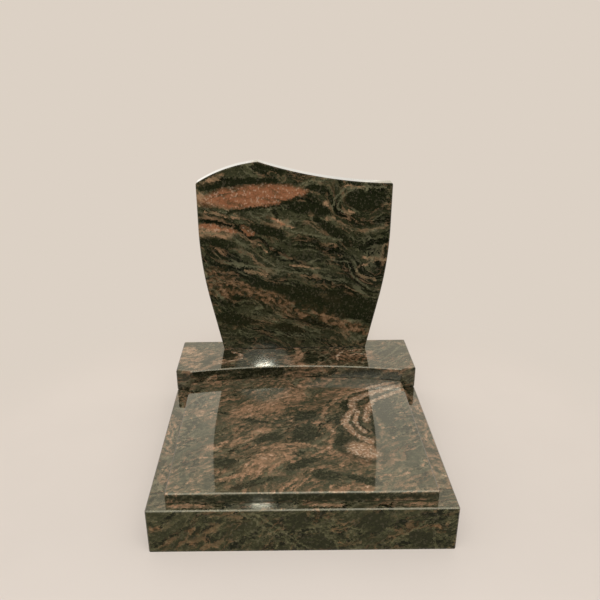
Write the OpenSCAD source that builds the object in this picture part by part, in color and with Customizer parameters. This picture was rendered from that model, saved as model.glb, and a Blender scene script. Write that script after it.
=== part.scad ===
// Grave kerb set: four kerbs, a closed cover slab, a plinth with a hollow front and a shaped headstone.
// Millimetres, +Z up. The origin is on the ground at the middle of the frame; -Y is the foot of the grave.

/* [Kerb frame] */
// Width of the kerb frame, outside to outside
frame_w = 1000; // [940:5:1100]
// Length of the kerb frame, from the foot of the grave to its head
frame_l = 1100; // [1000:5:2200]
// Height of the kerbs above the ground
kerb_h = 165; // [120:1:250]
// Thickness of each kerb in plan
kerb_t = 100; // [85:1:110]
// Width of the resin joint where two kerbs meet
kerb_joint = 1.5; // [1:0.25:3]

/* [Cover slab] */
// Thickness of the cover slab
slab_t = 35; // [25:1:60]
// Kerb left showing at each side of the slab
slab_side_margin = 60; // [40:1:70]
// Kerb left showing in front of the slab
slab_front_margin = 40; // [25:1:60]
// Height of the bed that the slab is set on
slab_bed_t = 2; // [1:0.5:5]
// Width of the sealed joint between the slab and the plinth
slab_joint = 3; // [2:0.5:6]

/* [Plinth] */
// Depth of the plinth from its two front horns to its back
plinth_d = 300; // [260:1:380]
// Thickness of the plinth
plinth_t = 87; // [60:1:120]
// How far the hollow front curves in behind the horns
plinth_hollow_d = 43; // [20:1:70]
// How far the outer ends fall back behind the horns
plinth_splay = 12; // [5:1:30]
// Height of the mortar bed under the plinth
plinth_bed_t = 3; // [2:0.5:6]

/* [Headstone] */
// Greatest width of the headstone
stone_w = 790; // [700:5:860]
// Height of the headstone from its foot to the crest
stone_h = 805; // [780:5:900]
// Thickness of the headstone
stone_t = 60; // [50:1:90]
// Plinth left showing behind the headstone
stone_back_margin = 16; // [0:1:60]
// Height of the left shoulder
left_shoulder_h = 724; // [690:1:740]
// Height of the right shoulder
right_shoulder_h = 715; // [690:1:740]
// Distance of the crest from the middle, towards the left
crest_offset = 145; // [90:1:180]
// Radius of the rounded crown to the left of the crest
crown_r = 580; // [450:5:900]
// Radius of the hollow sweep to the right of the crest
sweep_r = 1920; // [1200:10:2600]
// Height at which the flanks become upright
flank_h = 545; // [450:1:640]
// Radius of the curved part of each flank
flank_r = 1540; // [1200:10:1800]
// Lean of the straight lower part of each flank, in degrees
flank_lean = 12; // [5:0.5:14]
// Height of the mortar bed under the headstone
stone_bed_t = 3; // [2:0.5:6]

/* [Edges] */
// Width taken off each polished edge
arris_w = 4; // [1:0.5:6]
// How far joints and beds stay behind the stone faces
joint_recess = 3; // [1:0.5:8]

/* [Cross bearer] */
// How far the back of the slab bears on the cross bearer
slab_bearing_d = 30; // [20:1:60]
// How far the plinth bears on the cross bearer behind its hollow
plinth_bearing_d = 42; // [25:1:60]
// Open joint at each end of the cross bearer
bearer_end_gap = 2; // [1:0.5:5]

/* [Fixings] */
// Diameter of the dowels between plinth and headstone
dowel_d = 16; // [10:1:20]
// Depth of each dowel in the plinth, and in the headstone
dowel_depth = 55; // [40:1:58]
// Distance between the two dowels
dowel_spacing = 400; // [200:10:480]
// Resin space round a dowel
dowel_clear = 0.3; // [0.2:0.05:0.5]
// Leg length of the corner angles
angle_leg = 60; // [40:1:100]
// Metal thickness of the corner angles
angle_t = 5; // [3:1:8]
// Height of the corner angles
angle_h = 80; // [50:1:100]
// Height of the corner angles' lower edge above the ground
angle_z = 40; // [10:1:60]

/* [Hidden] */

// Colours
STONE = [0.24, 0.20, 0.16];
CONCRETE = [0.58, 0.57, 0.54];
MORTAR = [0.20, 0.19, 0.17];
STEEL = [0.70, 0.71, 0.72];

// Cutters reach this far past the faces that they open
over = 1;
// Space left round the seal between two curved faces
seal_clear = 0.2;
// How deep an arris cuts in, square to its own face
arris_depth = arris_w / sqrt(2);
// Facets of a full circle: the large arcs are long, so they need many
$fn = 96;
arc_fn = 1440;
// Straight steps along each arc of the headstone's outline
arc_steps = 20;

// Kerb frame in plan
side_x = frame_w / 2;
front_y = -frame_l / 2;
back_y = frame_l / 2;
inner_x = side_x - kerb_t;
inner_front_y = front_y + kerb_t;
inner_back_y = back_y - kerb_t;

// Cover slab
slab_x = side_x - slab_side_margin;
slab_front_y = front_y + slab_front_margin;
slab_z = kerb_h + slab_bed_t;
slab_top = slab_z + slab_t;

// Plinth: the hollow front is one arc through both horns, which stand in line with the slab's sides
horn_y = back_y - plinth_d;
wing_y = horn_y + plinth_splay;
hollow_y = horn_y + plinth_hollow_d;
front_r = (pow(slab_x, 2) + pow(plinth_hollow_d, 2)) / (2 * plinth_hollow_d);
front_centre_y = hollow_y - front_r;
plinth_z = kerb_h + plinth_bed_t;
plinth_top = plinth_z + plinth_t;

// Cross bearer
bearer_y = horn_y - slab_bearing_d;
bearer_d = slab_bearing_d + plinth_hollow_d + plinth_bearing_d;
bearer_back_y = bearer_y + bearer_d;

// Headstone, drawn in its own face: x across, y up from its foot
stone_z = plinth_top + stone_bed_t;
stone_back_y = back_y - stone_back_margin;
stone_mid_y = stone_back_y - stone_t / 2;
half_w = stone_w / 2;
crest = [-crest_offset, stone_h];
lean_top_h = flank_h - flank_r * sin(flank_lean);
lean_top_x = half_w - flank_r * (1 - cos(flank_lean));
foot_x = lean_top_x - lean_top_h * tan(flank_lean);
crown_centre = arc_centre([-half_w, left_shoulder_h], crest, crown_r);
sweep_centre = arc_centre([half_w, right_shoulder_h], crest, sweep_r);

// Centre of the arc of radius r that runs from p to q, to the right of that direction
function arc_centre(p, q, r) =
    let (chord = q - p, rise = sqrt(pow(r, 2) - pow(norm(chord) / 2, 2)))
    (p + q) / 2 + rise * [chord.y, -chord.x] / norm(chord);

// Points of the short arc round a centre from p to q, both included
function arc_points(centre, p, q) =
    let (from = atan2(p.y - centre.y, p.x - centre.x), to = atan2(q.y - centre.y, q.x - centre.x))
    [for (i = [0:arc_steps]) centre + norm(p - centre) * unit(from + (to - from) * i / arc_steps)];

// Direction at an angle in the plane
function unit(angle) = [cos(angle), sin(angle)];

// Takes the arris off a level edge from p to q at height z; the stone lies to the right of that direction
module edge_cut(p, q, z) {
    run = q - p;
    translate([p.x, p.y, z])
        rotate([0, 0, atan2(run.y, run.x)])
            translate([-over, 0, 0])
                rotate([90, 0, 90])
                    linear_extrude(norm(run) + 2 * over)
                        polygon([[-arris_w - over, over], [over, -arris_w - over], [over, over]]);
}

// Takes the arris off an upright corner at p that points outwards at the given angle, from z0 to z1
module corner_cut(p, angle, z0, z1) {
    translate([p.x, p.y, z0 - over])
        rotate([0, 0, angle])
            translate([-arris_depth, -arris_w - over, 0])
                cube([arris_w + over, 2 * (arris_w + over), z1 - z0 + 2 * over]);
}

// A kerb across the grave, with its polished face at y_face; out is -1 at the foot and 1 at the head
module end_kerb(y_face, out) {
    ends = out * side_x;
    difference() {
        translate([-side_x, min(y_face, y_face - out * kerb_t), 0]) cube([frame_w, kerb_t, kerb_h]);
        edge_cut([-ends, y_face], [ends, y_face], kerb_h);
        edge_cut([ends, y_face], [ends, y_face - out * kerb_t], kerb_h);
        edge_cut([-ends, y_face - out * kerb_t], [-ends, y_face], kerb_h);
        for (side = [-1, 1])
            corner_cut([side * side_x, y_face], 90 * out - 45 * side * out, 0, kerb_h);
    }
}

// A kerb along the grave between the two end kerbs; side is -1 on the left and 1 on the right
module side_kerb(side) {
    y0 = inner_front_y + kerb_joint;
    y1 = inner_back_y - kerb_joint;
    difference() {
        translate([side > 0 ? inner_x : -side_x, y0, 0]) cube([kerb_t, y1 - y0, kerb_h]);
        edge_cut([side * side_x, side > 0 ? y1 : y0], [side * side_x, side > 0 ? y0 : y1], kerb_h);
    }
}

// Resin between an end kerb and a side kerb, kept behind the top and the outer face
module kerb_seal(side, y) {
    translate([side > 0 ? inner_x : joint_recess - side_x, y, joint_recess])
        cube([kerb_t - joint_recess, kerb_joint, kerb_h - 2 * joint_recess]);
}

// A stainless angle in an inner corner: side is -1 or 1 for left or right, end for foot or head
module corner_angle(side, end) {
    scale([side, end, 1])
        translate([inner_x, inner_back_y, angle_z])
            rotate([0, 0, 180])
                linear_extrude(angle_h)
                    polygon([
                        [0, 0], [angle_leg, 0], [angle_leg, angle_t],
                        [angle_t, angle_t], [angle_t, angle_leg], [0, angle_leg]
                    ]);
}

// The large circle whose arc is the plinth's hollow front; shrink moves it towards the slab
module front_circle(shrink = 0) {
    translate([0, front_centre_y]) circle(r = front_r - shrink, $fn = arc_fn);
}

// Plan of the slab between the given insets; its back follows the plinth's front
module slab_plan() {
    intersection() {
        translate([-slab_x, slab_front_y]) square([2 * slab_x, hollow_y - slab_front_y]);
        front_circle(slab_joint);
    }
}

// Plan of the plinth: ends that fall back, two horns and the hollow between them
module plinth_plan() {
    difference() {
        polygon([
            [-side_x, wing_y], [-slab_x, horn_y], [slab_x, horn_y], [side_x, wing_y],
            [side_x, back_y], [-side_x, back_y]
        ]);
        front_circle();
    }
}

// Outline of the headstone's face: leaning foot, curved flanks, upright shoulders, crown and sweep
module stone_outline() {
    flank_centre = [half_w - flank_r, flank_h];
    flank = concat([[foot_x, 0]], arc_points(flank_centre, [lean_top_x, lean_top_h], [half_w, flank_h]));
    crown = arc_points(crown_centre, crest, [-half_w, left_shoulder_h]);
    polygon(concat(
        flank,
        arc_points(sweep_centre, [half_w, right_shoulder_h], crest),
        [for (i = [1:len(crown) - 1]) crown[i]],
        [for (i = [len(flank) - 1:-1:0]) [-flank[i].x, flank[i].y]]
    ));
}

// The two dowel holes, from height z0 to z1
module dowel_holes(z0, z1) {
    for (side = [-1, 1])
        translate([side * dowel_spacing / 2, stone_mid_y, z0])
            cylinder(h = z1 - z0, d = dowel_d + 2 * dowel_clear);
}

module front_kerb() { color(STONE) end_kerb(front_y, -1); }
module rear_kerb() { color(STONE) end_kerb(back_y, 1); }
module left_kerb() { color(STONE) side_kerb(-1); }
module right_kerb() { color(STONE) side_kerb(1); }

module cross_bearer() {
    color(CONCRETE)
        translate([bearer_end_gap - inner_x, bearer_y, 0])
            cube([2 * (inner_x - bearer_end_gap), bearer_d, kerb_h]);
}

module cover_slab() {
    color(STONE) difference() {
        translate([0, 0, slab_z]) linear_extrude(slab_t) slab_plan();
        edge_cut([slab_x, slab_front_y], [-slab_x, slab_front_y], slab_top);
        edge_cut([-slab_x, slab_front_y], [-slab_x, horn_y], slab_top);
        edge_cut([slab_x, horn_y], [slab_x, slab_front_y], slab_top);
        corner_cut([-slab_x, slab_front_y], -135, slab_z, slab_top);
        corner_cut([slab_x, slab_front_y], -45, slab_z, slab_top);
    }
}

// Its arrises stay sharp here, like the headstone's; scene.py takes them off
module plinth() {
    color(STONE) difference() {
        translate([0, 0, plinth_z]) linear_extrude(plinth_t) plinth_plan();
        dowel_holes(plinth_top - dowel_depth, plinth_top + over);
    }
}

module headstone() {
    color(STONE) difference() {
        translate([0, stone_back_y, stone_z])
            rotate([90, 0, 0]) linear_extrude(stone_t) stone_outline();
        dowel_holes(stone_z - over, stone_z + dowel_depth);
    }
}

module front_left_joint() { color(MORTAR) kerb_seal(-1, inner_front_y); }
module front_right_joint() { color(MORTAR) kerb_seal(1, inner_front_y); }
module rear_left_joint() { color(MORTAR) kerb_seal(-1, inner_back_y - kerb_joint); }
module rear_right_joint() { color(MORTAR) kerb_seal(1, inner_back_y - kerb_joint); }

// The slab's bed: a ring on the two side kerbs, the front kerb and the cross bearer
module slab_bed() {
    x1 = slab_x - joint_recess;
    y0 = slab_front_y + joint_recess;
    y1 = horn_y - slab_joint - joint_recess;
    hole_x = inner_x + joint_recess;
    hole_y0 = inner_front_y - joint_recess;
    hole_y1 = bearer_y + joint_recess;
    color(MORTAR) translate([0, 0, kerb_h]) linear_extrude(slab_bed_t) difference() {
        translate([-x1, y0]) square([2 * x1, y1 - y0]);
        translate([-hole_x, hole_y0]) square([2 * hole_x, hole_y1 - hole_y0]);
    }
}

// The seal in the curved joint between the slab's back and the plinth's front
module slab_joint_seal() {
    x1 = slab_x - joint_recess;
    color(MORTAR) translate([0, 0, slab_z]) linear_extrude(slab_t - joint_recess) intersection() {
        translate([-x1, horn_y - 2 * slab_joint]) square([2 * x1, plinth_hollow_d + 2 * slab_joint]);
        difference() {
            front_circle(seal_clear);
            front_circle(slab_joint - seal_clear);
        }
    }
}

// The plinth's bed: a ring on the side kerbs, the rear kerb and the cross bearer
module plinth_bed() {
    x1 = side_x - joint_recess;
    y0 = hollow_y + joint_recess;
    y1 = back_y - joint_recess;
    hole_x = inner_x + joint_recess;
    hole_y0 = bearer_back_y - joint_recess;
    hole_y1 = inner_back_y + joint_recess;
    color(MORTAR) translate([0, 0, kerb_h]) linear_extrude(plinth_bed_t) difference() {
        translate([-x1, y0]) square([2 * x1, y1 - y0]);
        translate([-hole_x, hole_y0]) square([2 * hole_x, hole_y1 - hole_y0]);
    }
}

module headstone_bed() {
    x1 = foot_x - joint_recess;
    d = stone_t - 2 * joint_recess;
    color(MORTAR) difference() {
        translate([-x1, stone_mid_y - d / 2, plinth_top]) cube([2 * x1, d, stone_bed_t]);
        dowel_holes(plinth_top - over, stone_z + over);
    }
}

module stone_dowel(side) {
    color(STEEL)
        translate([side * dowel_spacing / 2, stone_mid_y, plinth_top - dowel_depth])
            cylinder(h = 2 * dowel_depth + stone_bed_t, d = dowel_d);
}

module left_dowel() { stone_dowel(-1); }
module right_dowel() { stone_dowel(1); }

module front_left_angle() { color(STEEL) corner_angle(-1, -1); }
module front_right_angle() { color(STEEL) corner_angle(1, -1); }
module rear_left_angle() { color(STEEL) corner_angle(-1, 1); }
module rear_right_angle() { color(STEEL) corner_angle(1, 1); }

front_kerb();
left_kerb();
right_kerb();
rear_kerb();
cross_bearer();
cover_slab();
plinth();
headstone();
front_left_joint();
front_right_joint();
rear_left_joint();
rear_right_joint();
slab_bed();
slab_joint_seal();
plinth_bed();
headstone_bed();
left_dowel();
right_dowel();
front_left_angle();
front_right_angle();
rear_left_angle();
rear_right_angle();
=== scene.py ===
import math

import bmesh
import bpy
from mathutils import Matrix, Vector


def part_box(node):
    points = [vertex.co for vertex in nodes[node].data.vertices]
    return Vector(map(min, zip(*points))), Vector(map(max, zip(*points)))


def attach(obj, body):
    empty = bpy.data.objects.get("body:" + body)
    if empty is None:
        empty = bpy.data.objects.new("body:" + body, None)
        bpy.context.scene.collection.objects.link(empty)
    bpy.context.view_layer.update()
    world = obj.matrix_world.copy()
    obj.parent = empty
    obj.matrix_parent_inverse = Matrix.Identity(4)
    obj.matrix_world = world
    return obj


# Looks of the grave kerb set: polished gneiss, concrete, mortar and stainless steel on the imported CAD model,
# with its stage and lamps. Lengths are in metres, turns in degrees, and colours are linear.

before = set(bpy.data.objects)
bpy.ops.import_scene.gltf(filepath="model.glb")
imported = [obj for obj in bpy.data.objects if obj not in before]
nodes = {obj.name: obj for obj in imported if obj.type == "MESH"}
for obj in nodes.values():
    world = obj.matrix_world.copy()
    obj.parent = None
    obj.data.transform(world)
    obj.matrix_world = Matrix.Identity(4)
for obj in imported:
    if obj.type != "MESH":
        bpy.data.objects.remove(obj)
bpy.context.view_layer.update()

MORTARS = [
    "front_left_joint", "front_right_joint", "rear_left_joint", "rear_right_joint",
    "slab_bed", "slab_joint_seal", "plinth_bed", "headstone_bed",
]
ANGLES = ["front_left_angle", "front_right_angle", "rear_left_angle", "rear_right_angle"]
STEELS = ["left_dowel", "right_dowel"] + ANGLES

# Places in the frame that the looks follow
KERB_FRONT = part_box("front_kerb")[0].y
SLAB_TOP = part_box("cover_slab")[1].z
PLINTH_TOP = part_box("plinth")[1].z

# Colours of the stone's minerals
BLACK = (0.004, 0.005, 0.002)
OLIVE = (0.013, 0.014, 0.006)
DARK_GREEN = (0.042, 0.040, 0.021)
DEEP_GREEN = (0.042, 0.043, 0.025)
GREY_GREEN = (0.066, 0.060, 0.032)
PALE_GREEN = (0.130, 0.117, 0.070)
DARK_BROWN = (0.040, 0.026, 0.012)
MID_BROWN = (0.105, 0.074, 0.041)
RED_BROWN = (0.110, 0.058, 0.030)
SALMON_BROWN = (0.215, 0.122, 0.070)
ORANGE_RED = (0.222, 0.083, 0.041)
SALMON = (0.300, 0.172, 0.100)
PALE = (0.520, 0.410, 0.300)
SAW_DUST = (0.30, 0.28, 0.25)
WHITE = (1.0, 1.0, 1.0)
BACKDROP = (0.716, 0.638, 0.558)


# ---------------------------------------------------------------- node helpers

class Graph:
    """Adds nodes to a tree. Each call returns the new node's output socket."""

    def __init__(self, tree):
        self.tree = tree

    def put(self, socket, value):
        """Links a socket, or sets its constant. One number fills a vector, and a colour gets its alpha."""
        if isinstance(value, bpy.types.NodeSocket):
            self.tree.links.new(value, socket)
        elif value is not None:
            is_list = hasattr(socket.default_value, "__len__")
            if is_list and not hasattr(value, "__len__"):
                value = [value] * len(socket.default_value)
            if is_list and len(socket.default_value) == 4 and len(value) == 3:
                value = (*value, 1.0)
            socket.default_value = value

    def node(self, kind, inputs=None, output=0, **settings):
        made = self.tree.nodes.new(kind)
        for name, value in settings.items():
            setattr(made, name, value)
        for key, value in (inputs or {}).items():
            self.put(made.inputs[key], value)
        return made.outputs[output]

    def math(self, operation, a, b=None):
        return self.node("ShaderNodeMath", {0: a, 1: b}, operation=operation)

    def chain(self, operation, values):
        """One operation between several values, from the left."""
        result = values[0]
        for value in values[1:]:
            result = self.math(operation, result, value)
        return result

    def add(self, *values):
        return self.chain("ADD", values)

    def multiply(self, *values):
        return self.chain("MULTIPLY", values)

    def highest(self, *values):
        return self.chain("MAXIMUM", values)

    def subtract(self, a, b):
        return self.math("SUBTRACT", a, b)

    def inverse(self, value):
        return self.math("SUBTRACT", 1.0, value)

    def line(self, value, start, slope):
        """start where the value is 0, rising by slope to where it is 1."""
        return self.math("ADD", start, self.math("MULTIPLY", value, slope))

    def swing(self, noise, weight):
        """A noise's swing about its middle, weighted."""
        return self.math("MULTIPLY", self.math("SUBTRACT", noise, 0.5), weight)

    def vector(self, operation, a, b=None):
        return self.node("ShaderNodeVectorMath", {0: a, 1: b}, operation=operation)

    def dot(self, a, b):
        return self.node("ShaderNodeVectorMath", {0: a, 1: b}, output="Value", operation="DOT_PRODUCT")

    def length(self, vector):
        return self.node("ShaderNodeVectorMath", {0: vector}, output="Value", operation="LENGTH")

    def scaled(self, vector, factor):
        return self.node("ShaderNodeVectorMath", {0: vector, "Scale": factor}, operation="SCALE")

    def turned(self, vector, degrees):
        """The vector turned about its third axis."""
        inputs = {"Vector": vector, "Angle": math.radians(degrees)}
        return self.node("ShaderNodeVectorRotate", inputs, rotation_type="Z_AXIS")

    def pushed(self, vector, noise, reach):
        """The vector moved by a noise's colour, by up to half of reach each way."""
        push = self.vector("SUBTRACT", noise, (0.5, 0.5, 0.5))
        return self.vector("ADD", vector, self.vector("MULTIPLY", push, reach))

    def counted(self, vector, across, up):
        """A vector on a face, counted in lengths of across and up."""
        return self.vector("MULTIPLY", vector, (1.0 / across, 1.0 / up, 0.0))

    def join(self, x, y, z):
        return self.node("ShaderNodeCombineXYZ", {0: x, 1: y, 2: z})

    def split(self, vector):
        made = self.tree.nodes.new("ShaderNodeSeparateXYZ")
        self.put(made.inputs[0], vector)
        return made.outputs[0], made.outputs[1], made.outputs[2]

    def place(self):
        """The object coordinates, which are the frame's own."""
        return self.node("ShaderNodeTexCoord", output="Object")

    def noise(self, vector, scale, detail=2.0, roughness=0.5, output="Fac"):
        inputs = {"Vector": vector, "Scale": scale, "Detail": detail, "Roughness": roughness}
        return self.node("ShaderNodeTexNoise", inputs, output=output)

    def cells(self, vector, scale, output="Color"):
        return self.node("ShaderNodeTexVoronoi", {"Vector": vector, "Scale": scale}, output=output)

    def ramp(self, value, stops):
        made = self.tree.nodes.new("ShaderNodeValToRGB")
        elements = made.color_ramp.elements
        elements.remove(elements[1])
        elements[0].position = stops[0][0]
        elements[0].color = (*stops[0][1], 1.0)
        for position, colour in stops[1:]:
            elements.new(position).color = (*colour, 1.0)
        self.put(made.inputs[0], value)
        return made.outputs[0]

    def step(self, value, low, high):
        """0 below low, 1 above high, smooth between."""
        inputs = {"Value": value, "From Min": low, "From Max": high}
        return self.node("ShaderNodeMapRange", inputs, interpolation_type="SMOOTHSTEP", clamp=False)

    def contour(self, field, level, width):
        """1 on the thin lines where a field passes a level."""
        away = self.math("ABSOLUTE", self.subtract(field, level))
        return self.inverse(self.step(away, width * 0.3, width))

    def mix(self, factor, a, b):
        made = self.tree.nodes.new("ShaderNodeMix")
        made.data_type = "RGBA"
        self.put(made.inputs[0], factor)
        self.put(made.inputs[6], a)
        self.put(made.inputs[7], b)
        return made.outputs[2]

    def compare(self, operation, a, b):
        return self.node("FunctionNodeCompare", {0: a, 1: b}, data_type="FLOAT", operation=operation)

    def relief(self, height, strength, distance):
        """The normal of a bumpy surface."""
        return self.node("ShaderNodeBump", {"Strength": strength, "Distance": distance, "Height": height})


def new_material(name):
    """An empty material, its graph and its Principled shader."""
    material = bpy.data.materials.new(name)
    material.use_nodes = True
    tree = material.node_tree
    tree.nodes.clear()
    shader = tree.nodes.new("ShaderNodeBsdfPrincipled")
    end = tree.nodes.new("ShaderNodeOutputMaterial")
    tree.links.new(shader.outputs[0], end.inputs["Surface"])
    return material, Graph(tree), shader


# ---------------------------------------------------------------- gneiss

class Oval:
    """An elliptical patch on a stone's face, of two half widths, turned in degrees."""

    def __init__(self, centre, size, turn=0.0):
        self.centre, self.size, self.turn = centre, size, turn

    def reach(self, g, point):
        """How far out a point lies: 1 on the patch's rim."""
        away = g.turned(g.vector("SUBTRACT", point, (*self.centre, 0.0)), -self.turn)
        return g.length(g.counted(away, *self.size))


class Vein:
    """A streak on a stone's face along a chain of points, as wide to each side as its width."""

    def __init__(self, width, *points):
        self.width, self.points = width, points

    def reach(self, g, point):
        """How far out a point lies: 1 on the streak's rim."""
        reaches = []
        for start, end in zip(self.points, self.points[1:]):
            run = Vector(end) - Vector(start)
            away = g.vector("SUBTRACT", point, (*start, 0.0))
            share = g.dot(away, (*(run / run.length_squared), 0.0))
            share = g.math("MINIMUM", g.math("MAXIMUM", share, 0.0), 1.0)
            away = g.vector("SUBTRACT", away, g.scaled((*run, 0.0), share))
            reaches.append(g.length(g.counted(away, self.width, self.width)))
        return g.chain("MINIMUM", reaches)


class Stone(Graph):
    """A gneiss's graph, with what its layers share: the flat face, its crystals, bands and patches."""

    def __init__(self, tree, axes, wrap, turn, seed, features):
        super().__init__(tree)
        self.features = features
        self.at = self.place()
        xyz = self.split(self.at)
        across, up, into = [xyz["XYZ".index(axis)] for axis in axes]
        if wrap is not None:
            up = self.add(up, self.subtract(into, wrap))
        self.face = self.join(across, up, into)
        # Three random numbers for each crystal, of about 6 mm, and for each grain of grit, of about 3 mm
        crystals = self.cells(self.at, 170.0)
        self.grain = self.split(crystals)
        self.grit = self.split(self.cells(self.at, 380.0))
        # Crystals shift the point at which the bands are read, so that every rim is granular
        self.read = self.pushed(self.face, crystals, (0.007, 0.007, 0.0))
        self.along = self.turned(self.bent(seed), -turn)
        # The patches are read at a point that gives them ragged rims too
        ragged = self.noise(self.read, 22.0, 4.0, 0.65, output="Color")
        self.ragged = self.pushed(self.read, ragged, (0.045, 0.030, 0.0))

    def bent(self, seed):
        """The point at which the bands are read, moved by slow swirls, by smaller ones and by the folds."""
        moved = self.vector("ADD", self.read, (seed, seed, seed))
        swirls = ((2.4, (0.12, 0.20, 0.10)), (7.5, (0.055, 0.085, 0.06)), (21.0, (0.017, 0.025, 0.02)))
        for scale, reach in swirls:
            moved = self.pushed(moved, self.noise(moved, scale, 1.0, output="Color"), reach)
        for centre, radius, height in self.features.get("folds", ()):
            away = self.counted(self.vector("SUBTRACT", self.face, (*centre, 0.0)), radius, radius)
            bell = self.math("EXPONENT", self.multiply(self.dot(away, away), -1.0))
            moved = self.vector("ADD", moved, self.join(0.0, self.multiply(bell, height), 0.0))
        return moved

    def streaks(self, x, y, z, detail, roughness=0.6):
        """A noise of x waves a metre along the bands, y across them and z into the stone."""
        return self.noise(self.vector("MULTIPLY", self.along, (x, y, z)), 1.0, detail, roughness)

    def reach(self, kind):
        """How far out a point lies from the nearest patch of a kind: 1 on its rim."""
        return self.chain("MINIMUM", [shape.reach(self, self.ragged) for shape in self.features[kind]])

    def patches(self, kind):
        """1 in the patches of a kind and 0 outside, with ragged rims."""
        if kind not in self.features:
            return 0.0
        return self.inverse(self.step(self.reach(kind), 0.8, 1.25))


def band_tones(g, mottle, lift, streaky):
    """How pale each point is, about 0.5, from bands, streaks and blotches. Also the blotches alone."""
    broad = g.streaks(3.6, 17.0, 8.0, 4.0)
    fine = g.streaks(11.0, 80.0, 30.0, 3.0)
    blotch = g.streaks(50.0, 72.0, 60.0, 1.5)
    gain = 1.25 * streaky / math.hypot(1.0 - mottle, mottle)
    tone = g.add(g.swing(broad, 0.66 * (1.0 - mottle) * gain), g.swing(fine, 0.34 * (1.0 - mottle) * gain))
    tone = g.add(tone, g.swing(blotch, mottle * gain), g.swing(g.grit[0], 0.05), 0.5 + lift)
    return tone, blotch


def band_colours(g, tone, blotch, here, reddish, deep):
    """Green and red bands, with mottled brown patches and salmon ones. here has the share of each kind."""
    red_share = g.step(g.streaks(1.8, 5.0, 2.0, 2.0), 0.97 - reddish, 1.13 - reddish)
    red_share = g.multiply(red_share, 0.85, g.inverse(g.highest(here["dark"], here["green"])))
    red_share = g.highest(red_share, here["salmon"])
    greens = g.ramp(tone, [
        (0.40, BLACK), (0.48, OLIVE), (0.53, GREY_GREEN), (0.57, OLIVE), (0.62, PALE_GREEN),
        (0.67, RED_BROWN), (0.74, SALMON),
    ])
    reds = g.ramp(tone, [
        (0.36, deep), (0.41, DARK_GREEN), (0.455, GREY_GREEN), (0.49, MID_BROWN), (0.55, MID_BROWN),
        (0.60, SALMON_BROWN), (0.72, SALMON), (0.90, PALE),
    ])
    mottled = g.add(g.multiply(tone, 0.4), g.multiply(blotch, 0.6))
    browns = g.ramp(mottled, [(0.42, OLIVE), (0.49, DARK_BROWN), (0.55, RED_BROWN), (0.66, SALMON_BROWN)])
    colour = g.mix(red_share, greens, reds)
    colour = g.mix(here["brown"], colour, browns)
    return g.mix(g.multiply(here["salmon"], 0.4), colour, SALMON)


def with_lenses(g, colour, here, deep, lines):
    """The colour with large, then small dark lenses, and with thin pale seams round them."""
    seam_colour = g.mix(g.step(g.streaks(7.0, 15.0, 9.0, 1.0), 0.44, 0.54), PALE_GREEN, SALMON_BROWN)
    plain = g.inverse(g.highest(here["salmon"], here["brown"], here["dark"]))
    not_dark = g.inverse(here["dark"])
    for x, y, z, dark, strength in ((5.2, 25.0, 9.0, 0.8, 0.80), (11.5, 50.0, 20.0, 0.5, 0.65)):
        field = g.streaks(x, y, z, 1.0, 0.5)
        inside = g.multiply(g.step(field, 0.53, 0.57), dark * lines)
        colour = g.mix(g.multiply(inside, plain), colour, deep)
        fading = g.step(g.streaks(x * 1.7, y * 0.9, z, 1.0), 0.34, 0.58)
        seam = g.multiply(g.contour(field, 0.52, 0.034), fading, strength * lines)
        colour = g.mix(g.multiply(seam, not_dark), colour, seam_colour)
    return colour


def with_bright_veins(g, colour, flecks):
    """The colour with milky, glittering veins that have a dark rim, and the share of them at each point."""
    reach = g.reach("bright")
    colour = g.mix(g.multiply(g.contour(reach, 1.35, 0.55), 0.55), colour, OLIVE)
    here = g.multiply(g.inverse(g.step(reach, 0.5, 1.25)), g.line(flecks, 0.45, 0.5))
    milky = g.ramp(g.grain[2], [(0.0, SALMON_BROWN), (0.5, SALMON), (1.0, PALE)])
    return g.mix(here, colour, milky), here


def with_crystals(g, colour, normal, shade_and_tint, sparkling):
    """The colour with lighter and darker crystals, with painted shade and a slight tint on upright faces that
    makes them darker than the tops, and with pale specks.
    """
    light = g.multiply(g.line(g.grain[1], 0.84, 0.32), g.line(g.grit[1], 0.87, 0.26))
    # Painted shade: upright faces are multiplied by a darker, slightly tinted colour, and level tops keep
    # theirs
    level = g.step(g.split(normal)[2], 0.5, 0.9)
    colour = g.vector("MULTIPLY", g.scaled(colour, light), g.mix(level, shade_and_tint, WHITE))
    speck = g.multiply(g.step(g.grain[2], 0.84, 0.90), g.add(0.04, sparkling))
    return g.mix(speck, colour, PALE)


def finish_faces(g, shader, colour, normal, sawn):
    """Mirror polish with a faint haze, and saw marks on the underside and on the sawn face."""
    haze = g.step(g.noise(g.at, 60.0, 2.0), 0.35, 0.65)
    rough_side = g.math("LESS_THAN", g.split(normal)[2], -0.5)
    if sawn:
        rough_side = g.highest(rough_side, g.math("GREATER_THAN", g.dot(normal, sawn), 0.5))
    saw_marks = g.noise(g.vector("MULTIPLY", g.face, (3.0, 260.0, 260.0)), 1.0, 2.0, 0.6)
    g.put(shader.inputs["Base Color"], g.mix(rough_side, colour, g.mix(0.45, colour, SAW_DUST)))
    g.put(shader.inputs["Roughness"], g.add(g.line(haze, 0.035, 0.02), g.multiply(rough_side, 0.62)))
    shader.inputs["IOR"].default_value = 1.42
    shader.inputs["Specular Tint"].default_value = (1.0, 0.96, 0.78, 1.0)
    g.put(shader.inputs["Normal"], g.relief(g.multiply(saw_marks, rough_side), 0.25, 0.0006))


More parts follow.
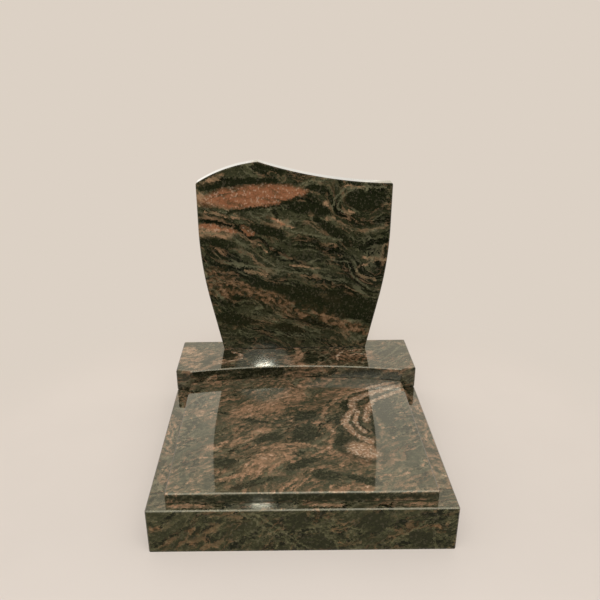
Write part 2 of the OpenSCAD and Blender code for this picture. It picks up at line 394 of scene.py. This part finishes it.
def gneiss(name, axes, turn, features, seed, reddish, mottle=0.2, lift=0.0, lines=1.0, streaky=1.0,
           deep=OLIVE, shade_and_tint=WHITE, wrap=None, sawn=None):
    """Mirror-polished gneiss with drawn-out, folded bands.

    axes gives the object axes that run across the face, up it and into it. turn is the bands' direction.
    features lists what lies on the face, by kind: folds (centre, radius, height) bend the bands, and dark,
    green, brown, red, salmon, pale and bright are ovals and veins of one mineral. seed moves the bands.
    reddish is the share of red bands, mottle the weight of blotches against drawn-out streaks, lift moves
    all bands towards the pale minerals, lines is the strength of the lenses and seams, streaky the contrast
    of the bands, deep the colour of the dark lenses, and the one after it the painted shade, with a slight
    tint, that makes upright faces darker than the tops. wrap is the place of an edge along the third axis:
    the faces on both sides of it are laid out flat as one. sawn is the direction of the face that was never
    polished, besides the underside.
    """
    material, graph, shader = new_material(name)
    g = Stone(graph.tree, axes, wrap, turn, seed, features)
    tone, blotch = band_tones(g, mottle, lift, streaky)
    here = {kind: g.patches(kind) for kind in ("dark", "green", "brown", "red", "salmon", "pale")}
    flecks = g.step(g.streaks(34.0, 90.0, 60.0, 2.0), 0.38, 0.58)
    here["salmon"] = g.multiply(here["salmon"], g.line(flecks, 0.25, 0.75))
    tone = g.add(g.subtract(tone, g.multiply(here["dark"], 0.10)), g.multiply(here["salmon"], 0.11))

    colour = band_colours(g, tone, blotch, here, reddish, deep)
    colour = with_lenses(g, colour, here, deep, lines)
    colour = g.mix(g.multiply(here["dark"], 0.9 - 0.7 * mottle), colour, deep)
    colour = g.mix(g.multiply(here["pale"], 0.55), colour, PALE_GREEN)
    sparkling = g.multiply(here["red"], 0.22)
    if "bright" in features:
        colour, bright = with_bright_veins(g, colour, flecks)
        sparkling = g.highest(sparkling, g.multiply(bright, 0.35))
    red_lens = g.ramp(tone, [(0.32, DARK_BROWN), (0.40, RED_BROWN), (0.47, ORANGE_RED), (0.76, SALMON)])
    colour = g.mix(here["red"], colour, red_lens)

    normal = g.node("ShaderNodeNewGeometry", output="True Normal")
    colour = with_crystals(g, colour, normal, shade_and_tint, sparkling)
    finish_faces(g, shader, colour, normal, sawn)
    return material


# ---------------------------------------------------------------- other materials

def concrete():
    material, g, shader = new_material("bearer_concrete")
    place = g.place()
    cloud = g.noise(place, 9.0, 5.0, 0.6)
    greys = [(0.35, (0.24, 0.235, 0.22)), (0.55, (0.36, 0.35, 0.33)), (0.72, (0.46, 0.45, 0.42))]
    pores = g.step(g.cells(place, 95.0, output="Distance"), 0.06, 0.16)
    sand = g.split(g.cells(place, 480.0))[0]
    colour = g.scaled(g.ramp(cloud, greys), g.line(sand, 0.82, 0.36))
    g.put(shader.inputs["Base Color"], g.mix(pores, (0.10, 0.098, 0.09), colour))
    shader.inputs["Roughness"].default_value = 0.9
    g.put(shader.inputs["Normal"], g.relief(g.add(pores, g.multiply(sand, 0.25)), 0.6, 0.001))
    return material


def mortar():
    material, g, shader = new_material("joint_mortar")
    place = g.place()
    cloud = g.noise(place, 30.0, 4.0, 0.6)
    sand = g.split(g.cells(place, 700.0))[0]
    colour = g.ramp(cloud, [(0.35, (0.010, 0.010, 0.008)), (0.65, (0.030, 0.028, 0.024))])
    g.put(shader.inputs["Base Color"], g.scaled(colour, g.line(sand, 0.7, 0.6)))
    shader.inputs["Roughness"].default_value = 0.85
    g.put(shader.inputs["Normal"], g.relief(sand, 0.5, 0.0005))
    return material


def steel():
    material, g, shader = new_material("stainless_steel")
    mill_lines = g.noise(g.vector("MULTIPLY", g.place(), (60.0, 60.0, 900.0)), 1.0, 3.0, 0.6)
    greys = [(0.3, (0.48, 0.48, 0.47)), (0.7, (0.66, 0.66, 0.65))]
    g.put(shader.inputs["Base Color"], g.ramp(mill_lines, greys))
    shader.inputs["Metallic"].default_value = 1.0
    g.put(shader.inputs["Roughness"], g.line(mill_lines, 0.28, 0.2))
    g.put(shader.inputs["Normal"], g.relief(mill_lines, 0.2, 0.0002))
    return material


def dress(name, material):
    """Gives a CAD node its material."""
    mesh = nodes[name].data
    mesh.materials.clear()
    mesh.materials.append(material)


# ---------------------------------------------------------------- shading of the CAD nodes

ARRIS = 0.004                           # width of a stone's flattened edge, an arris
SAME_POINT = 0.00002                    # facets' corners nearer than this are one
SAME_PLANE = math.radians(0.3)          # facets that meet at less than this are one flat face
ARRIS_FROM = math.radians(30)           # an edge that turns more than this has an arris
SMOOTH_BELOW = math.radians(12)         # an edge that turns less than this is shaded smooth
ABOVE_FOOT = 0.001                      # how far above its lowest point a stone's arrises start


def geometry_group(name, build, *values):
    """A geometry node tree. build gets its graph, the incoming geometry and the values."""
    group = bpy.data.node_groups.new(name, "GeometryNodeTree")
    for in_out in ("INPUT", "OUTPUT"):
        group.interface.new_socket("Geometry", in_out=in_out, socket_type="NodeSocketGeometry")
    g = Graph(group)
    end = group.nodes.new("NodeGroupOutput")
    g.put(end.inputs[0], build(g, g.node("NodeGroupInput"), *values))
    return group


def shade_by_angle(g, start):
    """Shades smooth, with sharp edges where two faces turn by more than the limit."""
    plain = g.node("GeometryNodeRemoveAttribute", {"Geometry": start, "Name": "custom_normal"})
    faces = g.node("GeometryNodeSetShadeSmooth", {"Geometry": plain, "Shade Smooth": True}, domain="FACE")
    flat = g.compare("LESS_THAN", g.node("GeometryNodeInputMeshEdgeAngle"), SMOOTH_BELOW)
    return g.node("GeometryNodeSetShadeSmooth", {"Geometry": faces, "Shade Smooth": flat}, domain="EDGE")


def mark_arrises(g, start, foot):
    """Marks, for a bevel, the sharp edges of a stone that lie higher than its foot."""
    height = g.split(g.node("GeometryNodeInputPosition"))[2]
    sharp = g.compare("GREATER_THAN", g.node("GeometryNodeInputMeshEdgeAngle"), ARRIS_FROM)
    above = g.compare("GREATER_THAN", height, foot + ABOVE_FOOT)
    both = g.node("FunctionNodeBooleanMath", {0: sharp, 1: above}, operation="AND")
    inputs = {"Geometry": start, "Name": "bevel_weight_edge", "Value": both}
    return g.node("GeometryNodeStoreNamedAttribute", inputs, data_type="FLOAT", domain="EDGE")


def take_off_arrises(piece):
    """Bevels a stone's sharp edges, all but those round its foot."""
    flat = piece.modifiers.new("flat", "DECIMATE")
    flat.decimate_type = "DISSOLVE"
    flat.angle_limit = SAME_PLANE
    mark = piece.modifiers.new("mark", "NODES")
    foot = min(corner.co.z for corner in piece.data.vertices)
    mark.node_group = geometry_group("mark_arrises", mark_arrises, foot)
    bevel = piece.modifiers.new("arris", "BEVEL")
    bevel.width = ARRIS
    bevel.segments = 1
    bevel.limit_method = "WEIGHT"
    bevel.use_clamp_overlap = False


def shade(name, group, sharp):
    """Welds a node's facets, takes off its arrises if the CAD leaves them sharp, and shades it by angle."""
    piece = nodes[name]
    weld = piece.modifiers.new("weld", "WELD")
    weld.merge_threshold = SAME_POINT
    if sharp:
        take_off_arrises(piece)
    smooth = piece.modifiers.new("shade", "NODES")
    smooth.node_group = group


# ---------------------------------------------------------------- stones

# Patches are placed in the frame: by x and z on upright faces, and by x and y on the slab and the plinth

def headstone_stone():
    features = {
        "folds": [((0.33, 0.60), 0.09, 0.10), ((0.28, 0.90), 0.10, 0.06)],
        "dark": [
            Vein(0.012, (-0.37, 0.966), (-0.21, 0.990), (-0.08, 0.985)),
            Vein(0.006, (-0.27, 0.864), (-0.06, 0.893), (0.02, 0.920)),
            Oval((0.278, 0.906), (0.078, 0.034)), Oval((0.06, 0.875), (0.080, 0.026), -8),
            Oval((0.09, 0.955), (0.05, 0.014), -5), Oval((-0.12, 0.787), (0.085, 0.022), -14),
            Oval((-0.31, 0.740), (0.080, 0.020), -14), Oval((0.17, 0.775), (0.09, 0.018), -38),
            Vein(0.022, (-0.17, 0.565), (0.03, 0.500)), Vein(0.050, (0.03, 0.500), (0.32, 0.430)),
            Oval((-0.27, 0.398), (0.08, 0.028), -12), Vein(0.004, (-0.335, 0.925), (-0.255, 0.945)),
            Oval((-0.02, 0.350), (0.06, 0.02), -15),
        ],
        "green": [
            Oval((0.0, 0.66), (0.42, 0.06), -8), Oval((0.22, 0.92), (0.18, 0.09)),
            Oval((0.0, 0.31), (0.4, 0.05)), Oval((0.05, 0.76), (0.30, 0.05), -10),
        ],
        "brown": [
            Oval((-0.30, 0.545), (0.060, 0.050)), Oval((0.01, 0.42), (0.075, 0.022), -20),
            Vein(0.030, (-0.25, 0.545), (-0.05, 0.480)), Vein(0.022, (-0.05, 0.480), (0.12, 0.430)),
            Vein(0.022, (0.12, 0.400), (0.31, 0.335)), Oval((-0.32, 0.585), (0.070, 0.045)),
            Oval((-0.36, 0.530), (0.05, 0.03)),
        ],
        "red": [
            Oval((-0.175, 0.928), (0.190, 0.043), 4), Oval((-0.03, 0.943), (0.075, 0.022)),
            Oval((-0.335, 0.803), (0.055, 0.014), -8), Oval((-0.19, 0.787), (0.028, 0.014), -30),
            Oval((-0.265, 0.790), (0.03, 0.010), -5), Oval((-0.07, 0.825), (0.03, 0.008), -25),
        ],
        "salmon": [
            Oval((0.128, 0.894), (0.014, 0.012)), Oval((0.068, 0.854), (0.012, 0.010)),
            Oval((0.145, 0.836), (0.022, 0.009), 10), Oval((0.222, 0.860), (0.020, 0.010)),
            Oval((0.127, 0.499), (0.020, 0.010), -30), Oval((-0.325, 0.995), (0.05, 0.013), 25),
            Vein(0.003, (-0.22, 0.770), (-0.11, 0.695)), Vein(0.004, (-0.02, 0.640), (0.10, 0.622)),
            Vein(0.007, (0.29, 0.665), (0.39, 0.660)), Vein(0.006, (-0.21, 0.617), (-0.12, 0.595)),
            Oval((-0.38, 0.915), (0.02, 0.03)), Oval((-0.34, 0.785), (0.09, 0.030), -5),
            Vein(0.005, (-0.07, 0.830), (0.0, 0.800)), Vein(0.004, (-0.36, 0.870), (-0.22, 0.835)),
            Vein(0.006, (0.20, 0.965), (0.28, 0.960)),
            Vein(0.004, (0.36, 0.66), (0.27, 0.625), (0.26, 0.60), (0.35, 0.565)),
        ],
        "pale": [
            Vein(0.004, (0.36, 0.955), (0.28, 0.960), (0.20, 0.950), (0.165, 0.915), (0.155, 0.870)),
            Vein(0.003, (0.24, 0.950), (0.195, 0.925), (0.180, 0.885), (0.200, 0.860)),
            Vein(0.003, (0.20, 0.745), (-0.02, 0.785)), Vein(0.003, (-0.30, 0.655), (0.05, 0.600)),
            Vein(0.003, (0.14, 0.66), (0.22, 0.65), (0.24, 0.59), (0.32, 0.53)),
        ],
    }
    # The headstone's upright faces get painted shade with a slight tint, darker than its top
    return gneiss("headstone_gneiss", "XZY", -17, features, seed=1.3, reddish=0.36, mottle=0.15, lift=-0.01,
                  lines=0.75, streaky=0.78, shade_and_tint=(0.88, 0.94, 0.90))


def slab_stone():
    features = {
        "dark": [
            Oval((-0.285, 0.0), (0.050, 0.010), -22), Oval((-0.165, -0.062), (0.075, 0.011), -16),
            Oval((0.03, -0.03), (0.045, 0.028), 35), Oval((0.188, 0.045), (0.016, 0.048), -5),
            Oval((0.148, -0.205), (0.030, 0.040)),
            Vein(0.008, (0.150, -0.05), (0.145, -0.11), (0.165, -0.17)),
            Oval((0.025, -0.16), (0.045, 0.055)), Oval((-0.11, -0.18), (0.055, 0.030), 15),
            Oval((-0.26, -0.34), (0.045, 0.030)), Oval((0.01, -0.35), (0.070, 0.022), 30),
            Oval((0.09, -0.42), (0.060, 0.026), -15), Oval((0.21, -0.45), (0.060, 0.020), -25),
            Oval((-0.16, -0.46), (0.080, 0.016), 25), Oval((0.0, -0.285), (0.018, 0.018)),
            Vein(0.006, (0.23, -0.03), (0.225, -0.09), (0.26, -0.15)), Oval((0.335, 0.02), (0.04, 0.12)),
            # The last oval below covers the slab's whole front face: painted shade that makes that face darker
            # than the top
            Oval((0.285, -0.12), (0.015, 0.08)), Oval((0.0, -0.528), (0.46, 0.016)),
        ],
        "salmon": [
            Vein(0.045, (-0.22, 0.0), (-0.10, 0.05), (0.0, 0.15)), Vein(0.014, (0.02, 0.17), (0.05, 0.29)),
            Oval((0.23, -0.27), (0.065, 0.045), -40),
            Vein(0.022, (-0.31, -0.25), (-0.22, -0.21), (-0.12, -0.13)),
            Vein(0.012, (-0.15, -0.26), (-0.02, -0.225), (0.08, -0.25), (0.18, -0.32), (0.26, -0.36)),
            Oval((-0.11, -0.33), (0.11, 0.045), 35),
            Vein(0.010, (-0.27, -0.44), (-0.14, -0.39), (-0.02, -0.30)),
            Vein(0.010, (0.115, -0.10), (0.13, -0.16), (0.11, -0.22)),
            Vein(0.010, (0.105, 0.03), (0.10, -0.03), (0.07, -0.09)),
            Vein(0.010, (0.43, 0.23), (0.30, 0.19), (0.18, 0.13), (0.13, 0.06)),
            Oval((-0.38, 0.0), (0.03, 0.02), -40), Vein(0.012, (0.10, -0.50), (0.24, -0.49)),
        ],
        "bright": [
            Vein(0.016, (0.44, 0.215), (0.32, 0.155), (0.26, 0.115), (0.22, 0.085), (0.215, 0.035)),
            Vein(0.013, (0.215, 0.010), (0.183, -0.04), (0.175, -0.09), (0.190, -0.14), (0.22, -0.185),
                 (0.26, -0.22)),
            Vein(0.012, (0.44, 0.178), (0.36, 0.120), (0.30, 0.080), (0.275, 0.03), (0.262, -0.03),
                 (0.255, -0.07)),
            Vein(0.010, (0.235, 0.0), (0.215, -0.05), (0.22, -0.10), (0.245, -0.15)),
            Oval((0.22, -0.270), (0.065, 0.042), -40),
            Vein(0.008, (0.24, 0.16), (0.31, 0.20), (0.40, 0.235)),
        ],
        "green": [
            Oval((0.39, -0.18), (0.06, 0.30)), Oval((-0.39, -0.22), (0.05, 0.25)),
            Oval((-0.40, 0.12), (0.04, 0.09)),
        ],
        "pale": [
            Vein(0.003, (-0.42, 0.19), (-0.40, 0.10), (-0.36, 0.03)),
            Vein(0.003, (-0.38, 0.19), (-0.36, 0.11), (-0.32, 0.05)),
        ],
    }
    return gneiss("slab_gneiss", "XYZ", 40, features, seed=4.1, reddish=0.66, mottle=0.75, lines=0.8,
                  streaky=0.9, deep=DEEP_GREEN, wrap=SLAB_TOP)


def plinth_stone():
    features = {
        "dark": [
            Vein(0.011, (-0.42, 0.244), (-0.25, 0.256)), Vein(0.020, (-0.25, 0.258), (-0.06, 0.270)),
            Oval((0.40, 0.215), (0.04, 0.025)), Oval((-0.29, 0.424), (0.035, 0.040)),
            Oval((0.07, 0.365), (0.025, 0.050), -30), Oval((0.215, 0.365), (0.015, 0.009)),
            Oval((0.278, 0.345), (0.012, 0.010)), Vein(0.012, (-0.39, 0.30), (-0.35, 0.38)),
            Oval((0.07, 0.235), (0.035, 0.014)), Oval((0.30, 0.25), (0.06, 0.012)),
            Oval((0.255, 0.400), (0.016, 0.014)),
        ],
        "brown": [Oval((0.255, 0.385), (0.095, 0.065))],
        "green": [
            Oval((0.42, 0.39), (0.11, 0.12)), Oval((-0.14, 0.41), (0.09, 0.09)),
            Vein(0.018, (-0.40, 0.29), (-0.36, 0.38), (-0.34, 0.48)), Oval((0.13, 0.40), (0.06, 0.08)),
            Oval((0.14, 0.23), (0.12, 0.03)),
        ],
        "salmon": [
            Oval((-0.45, 0.38), (0.05, 0.08)), Vein(0.006, (-0.02, 0.20), (0.04, 0.235), (0.08, 0.20)),
            Vein(0.006, (-0.40, 0.19), (-0.34, 0.235)), Oval((0.32, 0.42), (0.020, 0.025)),
            Oval((-0.005, 0.325), (0.050, 0.025)), Vein(0.016, (0.0, 0.34), (0.02, 0.40), (0.012, 0.47)),
            Vein(0.022, (-0.33, 0.335), (-0.28, 0.35), (-0.245, 0.385)), Oval((-0.42, 0.31), (0.03, 0.03)),
            Oval((-0.47, 0.46), (0.03, 0.05)),
        ],
        "bright": [
            Vein(0.007, (-0.33, 0.330), (-0.28, 0.345), (-0.24, 0.375), (-0.235, 0.41), (-0.27, 0.44)),
            Vein(0.005, (0.185, 0.345), (0.180, 0.40), (0.22, 0.44), (0.29, 0.445)),
            Vein(0.006, (0.235, 0.385), (0.26, 0.41), (0.30, 0.405), (0.31, 0.375)),
        ],
        "pale": [
            Vein(0.003, (0.10, 0.28), (0.14, 0.24), (0.22, 0.23)),
            Vein(0.003, (-0.30, 0.19), (-0.22, 0.225), (-0.10, 0.23)),
            Vein(0.003, (0.09, 0.44), (0.13, 0.38), (0.16, 0.31)),
            Vein(0.004, (0.36, 0.33), (0.42, 0.40), (0.46, 0.47)),
            Vein(0.004, (0.40, 0.29), (0.45, 0.36), (0.49, 0.42)),
            Vein(0.004, (0.37, 0.42), (0.41, 0.48), (0.43, 0.53)),
        ],
    }
    # The plinth's upright faces get painted shade, darker than its top
    return gneiss("plinth_gneiss", "XYZ", 25, features, seed=7.7, reddish=0.50, mottle=0.55, lift=0.035,
                  lines=0.9, shade_and_tint=(0.80, 0.80, 0.78), wrap=PLINTH_TOP)


def front_kerb_stone():
    features = {
        "green": [Oval((0.0, 0.06), (0.60, 0.075))],
        "brown": [
            Oval((-0.35, 0.085), (0.024, 0.014)), Oval((-0.36, 0.035), (0.018, 0.010)),
            Oval((-0.47, 0.095), (0.020, 0.012)), Oval((0.35, 0.095), (0.022, 0.020)),
            Oval((0.44, 0.088), (0.035, 0.020)), Vein(0.008, (0.04, 0.165), (0.045, 0.10)),
        ],
        "dark": [
            Oval((0.05, 0.035), (0.060, 0.030)), Oval((0.23, 0.11), (0.050, 0.040)),
            Oval((0.385, 0.04), (0.045, 0.030), -20), Oval((-0.02, 0.11), (0.04, 0.03)),
        ],
        "salmon": [
            Oval((-0.37, 0.188), (0.085, 0.012)), Oval((0.08, 0.187), (0.05, 0.010)),
            Oval((0.38, 0.187), (0.05, 0.010)), Oval((0.345, 0.100), (0.012, 0.012)),
        ],
        "pale": [
            Vein(0.003, (-0.19, 0.150), (-0.14, 0.115), (-0.09, 0.070), (-0.01, 0.010)),
            Vein(0.003, (-0.16, 0.150), (-0.11, 0.120), (-0.05, 0.065), (0.02, 0.010)),
            Vein(0.003, (0.29, 0.030), (0.35, 0.070), (0.40, 0.120)),
            Vein(0.003, (0.42, 0.09), (0.43, 0.03), (0.44, 0.0)),
            Vein(0.003, (0.06, 0.08), (0.10, 0.04), (0.12, 0.0)), Vein(0.003, (0.15, 0.100), (0.19, 0.085)),
        ],
    }
    # The front kerb's upright faces get painted shade, darker and less blue than its top
    return gneiss("front_kerb_gneiss", "XZY", 28, features, seed=2.9, reddish=0.13, mottle=0.70, lift=-0.013,
                  lines=0.7, streaky=0.7, deep=DARK_GREEN, shade_and_tint=(0.76, 0.79, 0.68), wrap=KERB_FRONT,
                  sawn=(0, 1, 0))


def rear_kerb_stone():
    return gneiss("rear_kerb_gneiss", "XZY", 10, {}, seed=9.2, reddish=0.45, sawn=(0, -1, 0))


def side_kerb_stone(name, turn, seed, inner):
    """A side kerb's gneiss. inner is the side of its sawn face along x."""
    return gneiss(name, "YZX", turn, {}, seed, reddish=0.66, mottle=0.6, lift=0.03, sawn=(inner, 0, 0))


# ---------------------------------------------------------------- fixings

ANGLE_THICKNESS = 0.005
BOLT_REACH = 0.036                      # from an angle's corner to a bolt's axis
BOLT_INSET = 0.022                      # from an angle's lower and upper ends to a bolt's axis
WASHER = (32, 0.0100, 0.0, 0.0018)      # sides, radius, bottom and top
BOLT_HEAD = (6, 0.0090, 0.0018, 0.0080)
BOLT_TAPER = 0.96
BOLT_EDGE = 0.0006


def add_object(name, data):
    made = bpy.data.objects.new(name, data)
    bpy.context.scene.collection.objects.link(made)
    return made


def add_mesh(name, build, material):
    """An object whose mesh build makes in a bmesh."""
    mesh = bpy.data.meshes.new(name)
    bm = bmesh.new()
    build(bm)
    bm.to_mesh(mesh)
    bm.free()
    mesh.materials.append(material)
    return add_object(name, mesh)


def bolt(bm, place, out):
    """A washer and a hexagon head at a place on a face that looks in the direction out."""
    turn = Vector((0, 0, 1)).rotation_difference(Vector(out)).to_matrix().to_4x4()
    base = Matrix.Translation(place) @ turn
    for sides, radius, low, high in (WASHER, BOLT_HEAD):
        middle = base @ Matrix.Translation((0, 0, (low + high) / 2))
        bmesh.ops.create_cone(bm, cap_ends=True, segments=sides, radius1=radius, radius2=radius * BOLT_TAPER,
                              depth=high - low, matrix=middle)


def angle_bolts(name, material):
    """Two bolts through each leg of a corner angle, into the kerbs. They ride on the one body."""
    low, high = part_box(name)
    end = 1 if low.y > 0 else -1
    side = 1 if low.x > 0 else -1
    corner = Vector((high.x if side > 0 else low.x, high.y if end > 0 else low.y, 0))

    def build(bm):
        for z in (low.z + BOLT_INSET, high.z - BOLT_INSET):
            bolt(bm, (corner.x - side * BOLT_REACH, corner.y - end * ANGLE_THICKNESS, z), (0, -end, 0))
            bolt(bm, (corner.x - side * ANGLE_THICKNESS, corner.y - end * BOLT_REACH, z), (-side, 0, 0))

    piece = add_mesh(name.replace("angle", "bolts"), build, material)
    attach(piece, "root")
    edge = piece.modifiers.new("edge", "BEVEL")
    edge.width = BOLT_EDGE
    edge.segments = 2
    edge.angle_limit = math.radians(40)


# ---------------------------------------------------------------- stage

def make_camera():
    """The photograph's camera: standing eye level in front of the foot of the grave."""
    data = bpy.data.cameras.new("camera")
    camera = add_object("camera", data)
    yaw, pitch, roll = (math.radians(a) for a in (-0.27, 25.8, -0.79))
    turn = (Matrix.Rotation(-yaw, 4, "Z") @ Matrix.Rotation(math.pi / 2 - pitch, 4, "X")
            @ Matrix.Rotation(roll, 4, "Z"))
    place = (-0.062, -2.288, 1.531)
    camera.matrix_world = Matrix.Translation(place) @ turn
    data.sensor_width = 36.0
    data.lens = 41.02
    data.shift_x = 0.0367
    data.shift_y = 0.1001
    bpy.context.scene.camera = camera


def looked_at(g):
    """1 where the camera, a reflection or glass sees a surface, and 0 where its light falls on something."""
    path = g.tree.nodes.new("ShaderNodeLightPath")
    rays = ("Is Camera Ray", "Is Glossy Ray", "Is Transmission Ray")
    return g.highest(*(path.outputs[ray] for ray in rays))


def make_world():
    world = bpy.data.worlds.new("world")
    bpy.context.scene.world = world
    world.use_nodes = True
    tree = world.node_tree
    tree.nodes.clear()
    g = Graph(tree)
    colour = g.mix(looked_at(g), (0.74, 0.72, 0.68), BACKDROP)
    background = g.node("ShaderNodeBackground", {"Color": colour, "Strength": 1.0})
    end = tree.nodes.new("ShaderNodeOutputWorld")
    tree.links.new(background, end.inputs["Surface"])


def cloudy_backdrop(g, cloud, share):
    """A share of the backdrop's colour, a little cloudy."""
    low = [share * c * shade_and_tint for c, shade_and_tint in zip(BACKDROP, (0.950, 0.960, 1.02))]
    high = [share * c * shade_and_tint for c, shade_and_tint in zip(BACKDROP, (0.975, 0.985, 1.045))]
    return g.ramp(cloud, [(0.3, low), (0.7, high)])


def floor_colour(g, place):
    """The backdrop's colour, painted a little darker in front, where the lamps stand."""
    cloud = g.noise(place, 3.0, 3.0)
    before = cloudy_backdrop(g, cloud, 0.85)
    behind = cloudy_backdrop(g, cloud, 1.0)
    return g.mix(g.step(g.split(place)[1], -0.9, 0.8), before, behind)


def make_floor():
    """A large pale disc, seen as the photograph's plain backdrop."""
    material, g, shader = new_material("floor")
    place = g.place()
    g.put(shader.inputs["Base Color"], floor_colour(g, place))
    shader.inputs["Roughness"].default_value = 1.0
    shader.inputs["Specular IOR Level"].default_value = 0.0
    # The camera and the reflections see the plain backdrop away from the object, and a share of it near by
    plain = g.node("ShaderNodeEmission", {"Color": BACKDROP})
    share = g.multiply(looked_at(g), g.highest(g.step(g.length(place), 0.9, 1.7), 0.35))
    blend = g.node("ShaderNodeMixShader", {0: share, 1: shader.outputs[0], 2: plain})
    g.put(g.tree.nodes["Material Output"].inputs["Surface"], blend)

    def build(bm):
        bmesh.ops.create_circle(bm, cap_ends=True, segments=96, radius=30.0)

    add_mesh("floor", build, material)


def make_flag():
    """A dark sheet on the floor before the grave and then upright: a painted reflection of a dark room.

    The stones mirror it in place of the lit room. It is grey-green near the grave and black beyond. The camera
    doesn't see it, and it throws no shadow.
    """
    material, g, shader = new_material("mirrored_dark_sheet")
    place = g.place()
    # Painted dark reflections: black far off, grey-green near the grave
    black = g.ramp(g.noise(place, 200.0, 2.0), [(0.3, (0.010, 0.010, 0.010)), (0.7, (0.018, 0.018, 0.018))])
    near = g.step(g.split(place)[1], -1.05, -0.95)
    g.put(shader.inputs["Base Color"], g.mix(near, black, (0.30, 0.29, 0.24)))
    shader.inputs["Roughness"].default_value = 1.0

    def build(bm):
        half_width, near_gap, floor_gap, far, top = 3.0, 0.006, 0.002, -1.8, 1.165
        profile = ((KERB_FRONT - near_gap, floor_gap), (far, floor_gap), (far, top))
        rows = [[bm.verts.new((side * half_width, y, z)) for side in (-1, 1)] for y, z in profile]
        for (a, b), (c, d) in zip(rows, rows[1:]):
            bm.faces.new((a, b, d, c))

    flag = add_mesh("flag", build, material)
    flag.visible_camera = False
    flag.visible_diffuse = False
    flag.visible_shadow = False


def softbox(name, place, target, size, radiance, colour, rounded=False):
    """A lamp of a given radiance, aimed at a target: a rectangle, or an ellipse if rounded."""
    data = bpy.data.lights.new(name, "AREA")
    data.shape = "ELLIPSE" if rounded else "RECTANGLE"
    data.size, data.size_y = size
    area = size[0] * size[1] * (math.pi / 4 if rounded else 1.0)
    data.energy = radiance * math.pi * area
    data.color = colour
    lamp = add_object(name, data)
    aim = (Vector(target) - Vector(place)).to_track_quat("-Z", "Y")
    lamp.matrix_world = Matrix.Translation(place) @ aim.to_matrix().to_4x4()
    lamp.visible_camera = False
    return lamp


def make_lamps():
    """One large lamp lights the set. The others are mostly there for their mirror images in the polish."""
    key = softbox("key", (0.0, -1.8, 2.9), (0.0, 0.1, 0.3), (2.6, 2.0), 2.7, (1.0, 0.97, 0.91))
    key.visible_glossy = False
    # Mirrored in the arrises
    sheen = softbox("sheen", (0.0, -1.93, 3.0), (0.0, -0.3, 0.2), (3.0, 2.2), 6.0, (1.0, 0.98, 0.94))
    sheen.visible_diffuse = False
    # Mirrored in the slab and the plinth's top, on both sides of the headstone's own image
    softbox("back_high", (0.0, 3.485, 2.675), (0.0, -0.115, 0.825), (5.0, 1.395), 1.18, (1.0, 0.96, 0.79))
    softbox("back_low", (0.0, 3.919, 1.829), (0.0, 0.319, -0.021), (5.0, 0.505), 0.80, (1.0, 0.94, 0.71))
    # Mirrored in the headstone's top
    strip = softbox("strip", (0.0, 3.6, 1.24), (0.0, 0.5, 1.24), (7.0, 0.60), 1.25, (1.0, 0.99, 0.95))
    strip.visible_diffuse = False
    # The glare on the plinth's top, with its glow and halo
    place, target, colour = (-0.232, -3.16, 2.172), (-0.1, 0.3, 0.3), (1.0, 1.05, 1.12)
    softbox("flash", place, target, (0.20, 0.12), 400.0, colour, rounded=True)
    softbox("flash_glow", place, target, (0.27, 0.21), 42.0, colour, rounded=True)
    softbox("flash_halo", place, target, (0.60, 0.50), 12.0, colour, rounded=True)


# ---------------------------------------------------------------- build

make_camera()
make_world()
make_floor()
make_flag()
make_lamps()

dress("headstone", headstone_stone())
dress("cover_slab", slab_stone())
dress("plinth", plinth_stone())
dress("front_kerb", front_kerb_stone())
dress("rear_kerb", rear_kerb_stone())
dress("left_kerb", side_kerb_stone("left_kerb_gneiss", 8, 5.6, 1))
dress("right_kerb", side_kerb_stone("right_kerb_gneiss", -8, 3.8, -1))

dress("cross_bearer", concrete())
mortar_material = mortar()
steel_material = steel()
for name in MORTARS:
    dress(name, mortar_material)
for name in STEELS:
    dress(name, steel_material)

by_angle = geometry_group("shade_by_angle", shade_by_angle)
for name in nodes:
    shade(name, by_angle, sharp=name in ("headstone", "plinth"))
for name in ANGLES:
    angle_bolts(name, steel_material)

bpy.context.scene.view_settings.view_transform = "Standard"
